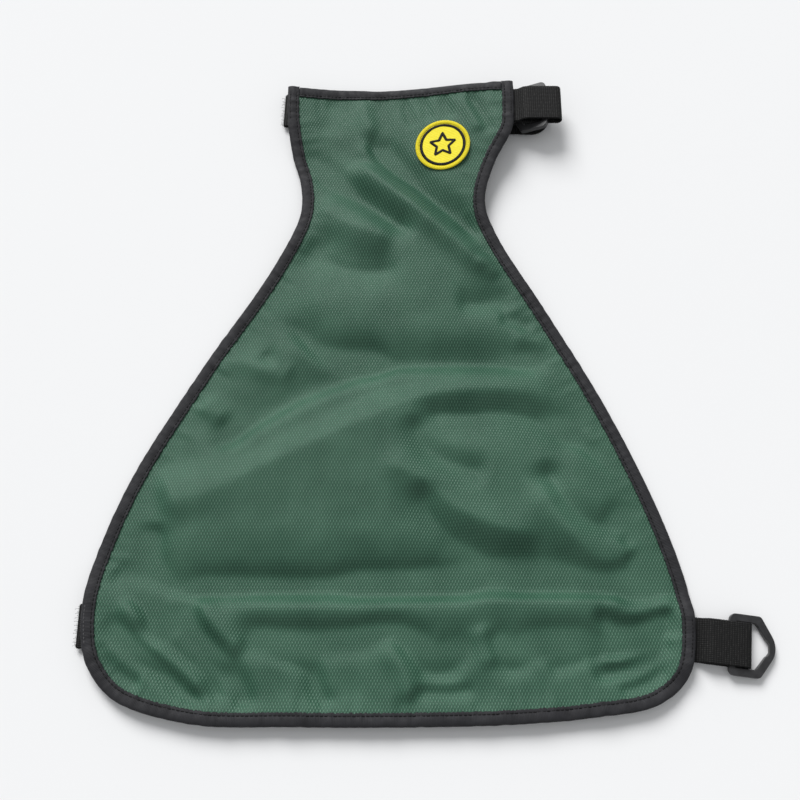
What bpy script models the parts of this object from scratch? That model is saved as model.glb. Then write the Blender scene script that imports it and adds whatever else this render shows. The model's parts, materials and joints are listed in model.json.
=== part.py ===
"""Strap-on splash apron: a bound two-layer fabric panel with two hook-and-loop straps and two strap rings.

The panel lies face up. +X is to the wearer's strap rings, +Y to the neck edge, +Z up. The straps are
folded under the panel, and the neck ring is folded under its loop, which lifts that corner.
"""

import math

import bmesh
import bpy
from mathutils import Matrix, Vector
from mathutils.geometry import delaunay_2d_cdt

MM = 0.001
GAP = 0.3  # clearance between pieces that touch, mm

# Middle of the whole object's box in the cutting frame, which has x = 0 near the panel's axis, mm
ORIGIN = (14.56, 203.35)

# Panel outline at the outside of its binding, from the top left corner round the hem, mm
TOP_Y = 407.0
PANEL_EDGE = [
    (-74.0, TOP_Y), (-73.6, 384.0), (-69.8, 358.0), (-63.6, 335.0), (-63.0, 315.0), (-70.0, 294.0),
    (-86.4, 262.5), (-112.0, 222.0), (-134.0, 183.5), (-153.8, 146.0), (-167.8, 110.6), (-175.6, 81.0),
    (-177.0, 54.0), (-172.0, 33.0), (-156.0, 14.5), (-113.0, 1.5), (-60.0, 0.0), (0.0, -0.2),
    (60.0, 1.2), (104.0, 4.8), (140.0, 11.5), (157.5, 26.0), (163.4, 49.0), (162.6, 72.0),
    (150.8, 116.0), (123.2, 183.5), (92.5, 242.0), (62.0, 296.0), (54.0, 320.0), (60.5, 347.0),
    (72.5, 371.0), (74.0, 388.0), (74.0, TOP_Y),
]  # fmt: skip
EDGE_STEP = 10.0  # spacing of points along the outline
CLOTH_STEP = 30.0  # spacing of points inside the panel
LIFT_STEP = 10.0  # and where its corner is lifted
NECK_SPANS = 14  # straight stretches along the neck edge

# Layers of the panel, heights above the table where the panel lies flat, mm
LIP_LOW = (3.7, 4.1)
LINING = (4.4, 4.7)
SHELL = (5.0, 5.5)
LIP_HIGH = (5.8, 6.2)
THREAD = (6.5, 6.9)
BINDING_WIDTH = 7.5
BINDING_WALL = 0.5
STITCH_INSET = 5.9  # from the binding's outside to its seam
THREAD_WIDTH = 0.6
TACK_INSET = 1.7
TACK_LENGTH = 23.0

# The corner over the folded neck ring stands higher than the rest
LIFT = 11.0
LIFT_X = (-20.0, 66.0)
LIFT_Y = (285.0, 370.0)

# Webbing straps, mm
STRAP_WIDTH = 24.6
STRAP_Z = (1.1, 2.1)
TAPE_Z = (0.0, 0.8)
ROOT_Z = (2.4, 3.4)
ROOT_LENGTH = 9.0
HOOK_LENGTH = 52.0
TAPE_SPACE = 8.0
TAPE_WIDTH = 23.6
TAPE_INSET = 0.5  # from the strap's fold line to its hook tape
# name, fold line x and y (just outside the panel's edge), turn about Z in degrees, length
STRAPS = [("neck", -75.4, 393.0, -2.0, 174.0), ("waist", -178.5, 54.5, 0.0, 270.0)]

# Webbing loops that hold the rings, mm
LOOP_WALL = 1.1
LOOP_BORE = 4.4
LOOP_LENGTH = 31.0  # from the panel's edge to the outside of the fold
LOOP_TAIL = 8.0
LOOP_FLARE = (2.0, 9.0)  # where the two plies part, and where they run parallel
LOOP_RISE = 1.1  # the loop's middle above its tail's middle

# Strap rings, mm
RING_WIDTH = 34.0
RING_LENGTH = 26.0
RING_THICK = 3.0
RING_BAR = 3.2
RING_SIDE = 4.3
RING_NOSE = 3.4
RING_CORNER = 17.7  # from the back of the bar to where the sides turn in
RING_SLANT = math.radians(32.0)  # the slanted sides' outward normals, off the ring's axis
RING_BACK_RADIUS = 3.5
RING_CORNER_RADIUS = 2.5
RING_BEVEL = 0.7
NOTCH_DEPTH = 0.9
NOTCH_HALF = 4.6
# name, root point on the panel's edge, loop turn, bar's distance from the root, ring's tilt about its bar
LOOPS = [("neck", 74.0, 389.5, 0.0, 20.0, 154.5), ("waist", 163.4, 47.0, -7.0, 20.0, 4.0)]

# Round embroidered patch, mm
PATCH_AT = (27.5, 361.0)
PATCH_RADIUS = 17.5
PATCH_Z = (5.8, 6.6)
BORDER_RADIUS = 1.1
MOTIF_Z = (6.9, 7.3)
CIRCLE_BAND = (13.2, 14.4)
STAR_POINTS = 5
STAR_OUTER = 9.6
STAR_INNER = 4.6
STAR_LINE = 0.72  # the inner outline's share of the outer one's size

COLOURS = {
    "shell_fabric": ((0.045, 0.135, 0.075), 0.5, 0.0),
    "lining_fabric": ((0.02, 0.022, 0.022), 0.7, 0.0),
    "binding_tape": ((0.035, 0.034, 0.038), 0.8, 0.0),
    "thread": ((0.012, 0.012, 0.013), 0.7, 0.0),
    "webbing": ((0.012, 0.012, 0.012), 0.75, 0.0),
    "hook_tape": ((0.015, 0.015, 0.016), 0.6, 0.0),
    "loop_tape": ((0.018, 0.018, 0.019), 0.95, 0.0),
    "ring_plastic": ((0.03, 0.03, 0.032), 0.35, 0.0),
    "patch_twill": ((0.9, 0.72, 0.03), 0.7, 0.0),
    "patch_thread": ((0.01, 0.01, 0.01), 0.6, 0.0),
}


def fresh_collection():
    for item in list(bpy.data.objects):
        bpy.data.objects.remove(item, do_unlink=True)
    made = bpy.data.collections.new("splash_apron")
    bpy.context.scene.collection.children.link(made)
    return made


def material(name):
    if name in bpy.data.materials:
        return bpy.data.materials[name]
    colour, roughness, metallic = COLOURS[name]
    made = bpy.data.materials.new(name)
    made.use_nodes = True
    shader = made.node_tree.nodes["Principled BSDF"]
    shader.inputs["Base Color"].default_value = (*colour, 1.0)
    shader.inputs["Roughness"].default_value = roughness
    shader.inputs["Metallic"].default_value = metallic
    return made


def add(name, mesh, slot):
    mesh.materials.clear()
    mesh.materials.append(material(slot))
    made = bpy.data.objects.new(name, mesh)
    PARTS.objects.link(made)
    return made


def smoothstep(value, low, high):
    share = min(1.0, max(0.0, (value - low) / (high - low)))
    return share * share * (3.0 - 2.0 * share)


def lie(x, y):
    """How much higher than flat the panel lies at this point, mm."""
    return LIFT * smoothstep(x, *LIFT_X) * smoothstep(y, *LIFT_Y)


def world(x, y, z):
    return Vector(((x - ORIGIN[0]) * MM, (y - ORIGIN[1]) * MM, z * MM))


def spline(points, per_span=24):
    """Points on a Catmull-Rom curve through these, with its chord lengths as the parameter."""
    ends = [2 * Vector(points[0]) - Vector(points[1]), 2 * Vector(points[-1]) - Vector(points[-2])]
    knots = [ends[0], *map(Vector, points), ends[1]]
    found = []
    for a, b, c, d in zip(knots, knots[1:], knots[2:], knots[3:]):
        t1 = math.sqrt((b - a).length)
        t2 = t1 + math.sqrt((c - b).length)
        t3 = t2 + math.sqrt((d - c).length)
        for k in range(per_span):
            t = t1 + (t2 - t1) * k / per_span
            ab = a.lerp(b, t / t1)
            bc = b.lerp(c, (t - t1) / (t2 - t1))
            cd = c.lerp(d, (t - t2) / (t3 - t2))
            abc = ab.lerp(bc, t / t2)
            bcd = bc.lerp(cd, (t - t1) / (t3 - t1))
            found.append(abc.lerp(bcd, (t - t1) / (t2 - t1)))
    return [*found, Vector(points[-1])]


def spaced(points, step):
    """The same path with points at even distances of about this step, ends kept."""
    lengths = [0.0]
    for a, b in zip(points, points[1:]):
        lengths.append(lengths[-1] + (b - a).length)
    count = round(lengths[-1] / step)
    found, at = [], 0
    for k in range(count):
        want = lengths[-1] * k / count
        while lengths[at + 1] < want:
            at += 1
        share = (want - lengths[at]) / (lengths[at + 1] - lengths[at])
        found.append(points[at].lerp(points[at + 1], share))
    return [*found, points[-1]]


def inwards(path):
    """Unit normals that point into the panel, which is on this path's left."""
    found = []
    for k in range(len(path)):
        along = path[min(k + 1, len(path) - 1)] - path[max(k - 1, 0)]
        found.append(Vector((-along.y, along.x)).normalized())
    return found


def inset(path, distance):
    return [p + n * distance for p, n in zip(path, inwards(path))]


def sweep(name, path, section, slot):
    """A closed solid with this section, (distance in from the path, height), along a path on the panel."""
    shape = bmesh.new()
    rings = []
    for p, n in zip(path, inwards(path)):
        ring = []
        for distance, height in section:
            q = p + n * distance
            ring.append(shape.verts.new(world(q.x, q.y, height + lie(q.x, q.y))))
        rings.append(ring)
    count = len(section)
    for a, b in zip(rings, rings[1:]):
        for k in range(count):
            shape.faces.new((a[k], a[(k + 1) % count], b[(k + 1) % count], b[k]))
    shape.faces.new(rings[0])
    shape.faces.new(reversed(rings[-1]))
    bmesh.ops.recalc_face_normals(shape, faces=shape.faces)
    mesh = bpy.data.meshes.new(name)
    shape.to_mesh(mesh)
    shape.free()
    return add(name, mesh, slot)


def within(point, rim):
    """Whether a point is inside a closed outline."""
    inside = False
    for a, b in zip(rim, [*rim[1:], rim[0]]):
        if (a.y > point.y) != (b.y > point.y):
            crossing = a.x + (point.y - a.y) / (b.y - a.y) * (b.x - a.x)
            inside = inside != (point.x < crossing)
    return inside


def lifted(point):
    return point.x > LIFT_X[0] and point.y > LIFT_Y[0]


def filling(rim, step, wanted):
    """Points on a triangular grid inside an outline, away from its edge, where they are wanted."""
    low = Vector((min(p.x for p in rim), min(p.y for p in rim)))
    high = Vector((max(p.x for p in rim), max(p.y for p in rim)))
    rows = int((high.y - low.y) / (step * 0.87))
    found = []
    for row in range(1, rows):
        y = low.y + (high.y - low.y) * row / rows
        for column in range(int((high.x - low.x) / step) + 2):
            point = Vector((low.x + (column + 0.5 * (row % 2)) * step, y))
            clear = min((point - q).length for q in rim) > min(step, EDGE_STEP) * 0.6
            if clear and wanted(point) and within(point, rim):
                found.append(point)
    return found


def cloth(name, rim, layer, inside, slot):
    """A layer of cloth: a triangulated surface at its middle height, with Solidify."""
    points = [*rim, *inside]
    flat = delaunay_2d_cdt(points, [], [list(range(len(rim)))], 1, 1e-4)
    middle = (layer[0] + layer[1]) / 2
    places = [world(p.x, p.y, middle + lie(p.x, p.y)) for p in flat[0]]
    mesh = bpy.data.meshes.new(name)
    mesh.from_pydata(places, [], flat[2])
    made = add(name, mesh, slot)
    thick = made.modifiers.new("thickness", "SOLIDIFY")
    thick.thickness = (layer[1] - layer[0]) * MM
    thick.offset = 0.0
    return made


def flat_mesh(name, outlines, thickness):
    """A plate from closed outlines in its own XY plane, holes included, about its middle height."""
    curve = bpy.data.curves.new(name, "CURVE")
    curve.dimensions = "2D"
    curve.fill_mode = "BOTH"
    curve.extrude = thickness / 2 * MM
    for outline in outlines:
        line = curve.splines.new("POLY")
        line.points.add(len(outline) - 1)
        for point, (x, y) in zip(line.points, outline):
            point.co = (x * MM, y * MM, 0.0, 1.0)
        line.use_cyclic_u = True
    holder = bpy.data.objects.new(name, curve)
    PARTS.objects.link(holder)
    seen = holder.evaluated_get(bpy.context.evaluated_depsgraph_get())
    mesh = bpy.data.meshes.new_from_object(seen)
    bpy.data.objects.remove(holder)
    bpy.data.curves.remove(curve)
    shape = bmesh.new()
    shape.from_mesh(mesh)
    bmesh.ops.remove_doubles(shape, verts=shape.verts, dist=1e-6)
    bmesh.ops.recalc_face_normals(shape, faces=shape.faces)
    shape.to_mesh(mesh)
    shape.free()
    return mesh


def arc(centre, radius, start, stop, steps):
    """Points on an arc, angles in degrees."""
    angles = [math.radians(start + (stop - start) * k / steps) for k in range(steps + 1)]
    return [(centre[0] + radius * math.cos(a), centre[1] + radius * math.sin(a)) for a in angles]


def rounded(corners, radii, steps=5):
    """A closed outline of straight sides with its corners rounded by arcs."""
    found = []
    for k, radius in enumerate(radii):
        before, at = Vector(corners[k - 1]), Vector(corners[k])
        after = Vector(corners[(k + 1) % len(corners)])
        if radius == 0.0:
            found.append(tuple(at))
            continue
        back, on = (before - at).normalized(), (after - at).normalized()
        half = back.angle(on) / 2
        centre = at + (back + on).normalized() * (radius / math.sin(half))
        first = at + back * (radius / math.tan(half)) - centre
        turn = first.angle_signed(at + on * (radius / math.tan(half)) - centre)
        for step in range(steps + 1):
            share = Matrix.Rotation(-turn * step / steps, 2)
            found.append(tuple(centre + share @ first))
    return found


def place(made, x, y, z, turn=0.0, tilt=0.0, stand=0.0):
    """Puts an object at a point of the cutting frame, stood up about X, tilted about Y, then turned."""
    made.location = world(x, y, z)
    spin = Matrix.Rotation(math.radians(turn), 4, "Z")
    lean = Matrix.Rotation(math.radians(tilt), 4, "Y")
    made.rotation_euler = (spin @ lean @ Matrix.Rotation(math.radians(stand), 4, "X")).to_euler()
    return made


def build_panel():
    edge = spaced(spline(PANEL_EDGE), EDGE_STEP)
    slack = BINDING_WALL + GAP
    rim = inset(edge, slack)
    rim[0].y = rim[-1].y = TOP_Y - slack
    rim += [rim[-1].lerp(rim[0], k / NECK_SPANS) for k in range(1, NECK_SPANS)]
    inside = filling(rim, CLOTH_STEP, lambda p: not lifted(p)) + filling(rim, LIFT_STEP, lifted)
    cloth("outer_shell", rim, SHELL, inside, "shell_fabric")
    cloth("lining", rim, LINING, inside, "lining_fabric")
    build_bindings(edge)
    return edge


def binding_section():
    low, high = LIP_LOW[0], LIP_HIGH[1]
    return [
        (0.0, low), (BINDING_WIDTH, low), (BINDING_WIDTH, LIP_LOW[1]), (BINDING_WALL, LIP_LOW[1]),
        (BINDING_WALL, LIP_HIGH[0]), (BINDING_WIDTH, LIP_HIGH[0]), (BINDING_WIDTH, high), (0.0, high),
    ]  # fmt: skip


def thread_section(distance):
    return [
        (distance, THREAD[0]), (distance + THREAD_WIDTH, THREAD[0]),
        (distance + THREAD_WIDTH, THREAD[1]), (distance, THREAD[1]),
    ]  # fmt: skip


def build_bindings(edge):
    """The folded tape round the sides and hem, the one along the neck, and the seam on each."""
    sweep("edge_binding", edge, binding_section(), "binding_tape")
    sweep("edge_binding_seam", edge, thread_section(STITCH_INSET), "thread")
    inner = BINDING_WIDTH + GAP
    right = Vector((edge[-1].x - inner, TOP_Y))
    left = Vector((edge[0].x + inner, TOP_Y))
    top = [right.lerp(left, k / NECK_SPANS) for k in range(NECK_SPANS + 1)]
    sweep("neck_binding", top, binding_section(), "binding_tape")
    sweep("neck_binding_seam", top, thread_section(STITCH_INSET), "thread")


def build_tack(name, edge, y, side):
    """The short second seam where a strap is sewn into the edge, on the side given by its sign."""
    low, high = y - TACK_LENGTH / 2, y + TACK_LENGTH / 2
    fine = [p for p in spaced(edge, 1.0) if low <= p.y <= high and p.x * side > 0]
    sweep(name, spaced(fine, TACK_LENGTH / 5), thread_section(TACK_INSET), "thread")


def build_strap(name, x, y, turn, length):
    """A strap folded under the panel: its sewn root, the webbing, and its hook and loop tapes."""
    half, tape = STRAP_WIDTH / 2, TAPE_WIDTH / 2
    reach = length - half
    webbing = [(0.0, half), (0.0, -half), *arc((reach, 0.0), half, -90, 90, 12)]
    hook = [(TAPE_INSET, tape), (TAPE_INSET, -tape), (HOOK_LENGTH, -tape), (HOOK_LENGTH, tape)]
    start = HOOK_LENGTH + TAPE_SPACE
    loop = [(start, tape), (start, -tape), *arc((reach, 0.0), tape, -90, 90, 12)]
    root = [(GAP, half), (GAP, -half), (ROOT_LENGTH, -half), (ROOT_LENGTH, half)]
    axis_z = (ROOT_Z[1] + STRAP_Z[0]) / 2
    pieces = [
        ("_strap", webbing, STRAP_Z, "webbing"),
        ("_strap_hook_tape", hook, TAPE_Z, "hook_tape"),
        ("_strap_loop_tape", loop, TAPE_Z, "loop_tape"),
        ("_strap_root", root, ROOT_Z, "webbing"),
    ]
    for suffix, outline, layer, slot in pieces:
        mesh = flat_mesh(name + suffix, [outline], layer[1] - layer[0])
        mesh.transform(Matrix.Translation((0.0, 0.0, ((layer[0] + layer[1]) / 2 - axis_z) * MM)))
        place(add(name + suffix, mesh, slot), x, y, axis_z, turn)


def loop_outlines():
    """A loop's side view: x out from the panel's edge, y up from the middle of its tail."""
    inner = LOOP_BORE / 2
    outer = inner + LOOP_WALL
    part, full = LOOP_FLARE
    end = LOOP_LENGTH - outer
    outside = [(-LOOP_TAIL, -LOOP_WALL), (part, -LOOP_WALL), (full, LOOP_RISE - outer)]
    outside += arc((end, LOOP_RISE), outer, -90, 90, 12)
    outside += [(full, LOOP_RISE + outer), (part, LOOP_WALL), (-LOOP_TAIL, LOOP_WALL)]
    inside = [(part + 2.5, 0.2), (full, LOOP_RISE + inner)]
    inside += arc((end, LOOP_RISE), inner, 90, -90, 12)
    inside += [(full, LOOP_RISE - inner)]
    return [outside, inside]


def ring_outlines():
    """A strap ring in plan, with the middle of its bar at x = 0."""
    back = -RING_BAR / 2
    half = RING_WIDTH / 2
    nx, ny = math.cos(RING_SLANT), math.sin(RING_SLANT)
    corner = back + RING_CORNER
    slant = corner * nx + half * ny  # the slanted side's distance from x = 0 along its normal
    tip = back + RING_LENGTH
    nose = (slant - tip * nx) / (1.0 - nx)  # radius of the arc that both slants run into
    spread = math.degrees(RING_SLANT)
    lower = rounded(
        [(back, 0.0), (back, -half), (corner, -half), (tip, -(slant - tip * nx) / ny)],
        [0.0, RING_BACK_RADIUS, RING_CORNER_RADIUS, 0.0],
    )[1:-1]
    upper = [(x, -y) for x, y in reversed(lower)]
    outside = [*lower, *arc((tip - nose, 0.0), nose, -spread, spread, 12), *upper]
    return [outside, ring_hole(slant, nx, ny, tip)]


def ring_hole(slant, nx, ny, tip):
    """The ring's opening: a slot's width at the bar, slanted sides, and a shallow recess at the nose."""
    side = RING_WIDTH / 2 - RING_SIDE
    bar = RING_BAR / 2
    inner = slant - RING_SIDE
    turn = (inner - side * ny) / nx
    step_x = (inner - NOTCH_HALF * ny) / nx
    nose = tip - RING_NOSE
    recess = [(step_x, NOTCH_HALF), (step_x + NOTCH_DEPTH, NOTCH_HALF - 0.4), (nose, 2.2)]
    upper = [(bar, side), (turn, side), *recess]
    return [*upper, *[(x, -y) for x, y in reversed(upper)]]


def build_loop(name, x, y, turn, bar, tilt):
    """A webbing loop sewn under the panel's edge, and the ring whose bar it holds."""
    tail_z = LIP_LOW[0] - GAP - LOOP_WALL + lie(x, y)
    mesh = flat_mesh(name + "_loop", loop_outlines(), STRAP_WIDTH)
    place(add(name + "_loop", mesh, "webbing"), x, y, tail_z, turn, 0.0, 90.0)
    ring = flat_mesh(name + "_ring", ring_outlines(), RING_THICK)
    made = add(name + "_ring", ring, "ring_plastic")
    angle = math.radians(turn)
    place(made, x + bar * math.cos(angle), y + bar * math.sin(angle), tail_z + LOOP_RISE, turn, tilt)
    edges = made.modifiers.new("edges", "BEVEL")
    edges.width = RING_BEVEL * MM
    edges.segments = 2
    edges.limit_method = "ANGLE"
    edges.angle_limit = math.radians(50.0)


def drape(mesh):
    """Moves a mesh that lies on the panel at its flat height up to where the panel lies."""
    for vertex in mesh.vertices:
        x, y, z = vertex.co / MM
        x, y = x + PATCH_AT[0], y + PATCH_AT[1]
        vertex.co = world(x, y, z + lie(x, y))


def build_patch():
    """A round patch: its twill base, overlocked border, stitched circle and star."""
    centre = Vector(PATCH_AT)
    inside = PATCH_RADIUS - 2 * BORDER_RADIUS - GAP
    rim = [centre + Vector(p) for p in arc((0.0, 0.0), inside, 0, 351, 39)]
    cloth("patch_base", rim, PATCH_Z, filling(rim, 5.0, lambda p: True), "patch_twill")
    bpy.ops.mesh.primitive_torus_add(
        major_segments=48, minor_segments=10,
        major_radius=(PATCH_RADIUS - BORDER_RADIUS) * MM, minor_radius=BORDER_RADIUS * MM,
    )  # fmt: skip
    torus = bpy.context.object
    ring = torus.data.copy()
    bpy.data.objects.remove(torus)
    ring.transform(Matrix.Translation((0.0, 0.0, (SHELL[1] + GAP + BORDER_RADIUS) * MM)))
    drape(ring)
    add("patch_border", ring, "patch_twill")
    circle = [arc((0.0, 0.0), r, 0, 352.5, 47) for r in CIRCLE_BAND]
    points = range(2 * STAR_POINTS)
    turns = [math.pi / 2 + math.pi * k / STAR_POINTS for k in points]
    sizes = [STAR_OUTER if k % 2 == 0 else STAR_INNER for k in points]
    star = [
        [(scale * r * math.cos(a), scale * r * math.sin(a)) for r, a in zip(sizes, turns)]
        for scale in (1.0, STAR_LINE)
    ]
    for name, outlines in (("patch_circle", circle), ("patch_star", star)):
        mesh = flat_mesh(name, outlines, MOTIF_Z[1] - MOTIF_Z[0])
        mesh.transform(Matrix.Translation((0.0, 0.0, (MOTIF_Z[0] + MOTIF_Z[1]) / 2 * MM)))
        drape(mesh)
        add(name, mesh, "patch_thread")


PARTS = fresh_collection()
EDGE = build_panel()
for strap in STRAPS:
    build_strap(*strap)
    build_tack(strap[0] + "_strap_tack", EDGE, strap[2], -1)
for loop in LOOPS:
    build_loop(*loop)
    build_tack(loop[0] + "_loop_tack", EDGE, loop[2], 1)
build_patch()
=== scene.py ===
"""Looks of the strap-on splash apron: coated cloth, folded bindings, webbing, tapes, rings and patch."""

import json
import math

import bmesh
import bpy
import numpy as np
from mathutils import Matrix, Vector, kdtree, noise
from mathutils.geometry import delaunay_2d_cdt

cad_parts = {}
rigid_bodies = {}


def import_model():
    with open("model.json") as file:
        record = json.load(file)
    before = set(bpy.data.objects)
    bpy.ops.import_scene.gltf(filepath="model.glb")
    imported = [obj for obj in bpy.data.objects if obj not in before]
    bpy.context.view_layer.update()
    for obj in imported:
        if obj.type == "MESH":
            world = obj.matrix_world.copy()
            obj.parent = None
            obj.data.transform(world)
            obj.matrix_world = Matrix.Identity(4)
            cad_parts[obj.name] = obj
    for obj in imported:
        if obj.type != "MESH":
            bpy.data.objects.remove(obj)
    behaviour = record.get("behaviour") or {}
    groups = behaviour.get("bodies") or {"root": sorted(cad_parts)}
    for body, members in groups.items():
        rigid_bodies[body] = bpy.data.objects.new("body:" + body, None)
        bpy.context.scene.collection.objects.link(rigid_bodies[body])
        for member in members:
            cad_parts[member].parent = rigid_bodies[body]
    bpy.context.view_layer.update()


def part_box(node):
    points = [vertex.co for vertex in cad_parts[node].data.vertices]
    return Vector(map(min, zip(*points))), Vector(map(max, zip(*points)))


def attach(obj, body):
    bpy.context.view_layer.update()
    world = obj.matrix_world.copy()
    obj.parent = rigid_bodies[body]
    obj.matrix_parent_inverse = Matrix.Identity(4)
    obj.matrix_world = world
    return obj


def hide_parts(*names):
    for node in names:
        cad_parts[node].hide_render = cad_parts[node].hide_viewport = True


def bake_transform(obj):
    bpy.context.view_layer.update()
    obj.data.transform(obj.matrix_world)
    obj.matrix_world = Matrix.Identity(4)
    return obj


for item in list(bpy.data.objects):
    bpy.data.objects.remove(item, do_unlink=True)
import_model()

MM = 0.001
TOP_Y = 407.0
NECK_LOW, NECK_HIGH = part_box("neck_binding")
# The cutting frame that the numbers below are in has the neck edge's middle at x = 0, mm
ORIGIN = (-(NECK_LOW.x + NECK_HIGH.x) / 2 / MM, TOP_Y - NECK_HIGH.y / MM)

# Panel outline at the outside of its binding, from the top left corner round the hem, mm
PANEL_EDGE = [
    (-74.0, TOP_Y), (-73.6, 384.0), (-69.8, 358.0), (-63.6, 335.0), (-63.0, 315.0), (-70.0, 294.0),
    (-86.4, 262.5), (-112.0, 222.0), (-134.0, 183.5), (-153.8, 146.0), (-167.8, 110.6), (-175.6, 81.0),
    (-177.0, 54.0), (-172.0, 33.0), (-156.0, 14.5), (-113.0, 1.5), (-60.0, 0.0), (0.0, -0.2),
    (60.0, 1.2), (104.0, 4.8), (140.0, 11.5), (157.5, 26.0), (163.4, 49.0), (162.6, 72.0),
    (150.8, 116.0), (123.2, 183.5), (92.5, 242.0), (62.0, 296.0), (54.0, 320.0), (60.5, 347.0),
    (72.5, 371.0), (74.0, 388.0), (74.0, TOP_Y),
]  # fmt: skip

# Heights of the shell's surface above the table, mm
LOW = 2.0  # where nothing is under the panel
ON_STRAP = 6.0
FOLD_STRENGTH = 1.45  # times the heights in the table below
BILLOW = 6.0  # extra, well inside the edges above the waist strap
HEM_RISE = 4.6  # extra, at the hem
UPPER_RISE = 3.0  # extra, towards the neck
PLY = 0.8  # from the shell down to the lining
LIFT, LIFT_X, LIFT_Y = 11.0, (-20.0, 66.0), (285.0, 370.0)
LOWEST, LOWEST_ON_STRAP = 1.7, 4.3  # folds flatten out above these

# Straps under the panel: fold line x and y, turn in degrees, length, mm
STRAPS = {"neck": (-75.4, 393.0, -2.0, 174.0), "waist": (-178.5, 54.5, 0.0, 270.0)}
# Loops: root x and y, turn, bar's distance from the root, ring's tilt, mm and degrees
LOOPS = {"neck": (74.0, 389.5, 0.0, 20.0, 154.5), "waist": (163.4, 47.0, -7.0, 20.0, 4.0)}
STRAP_WIDTH = 24.6
PATCH_AT = (27.5, 361.0)
STITCH_PITCH = 2.5
SEAM_IN = 5.9  # binding seam's distance in from the edge
EDGE_STEP = 0.8
LOOP_RISE, BAR_UP = 2.3, 1.1  # a loop's middle above the table, and its ring's bar above that

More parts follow.
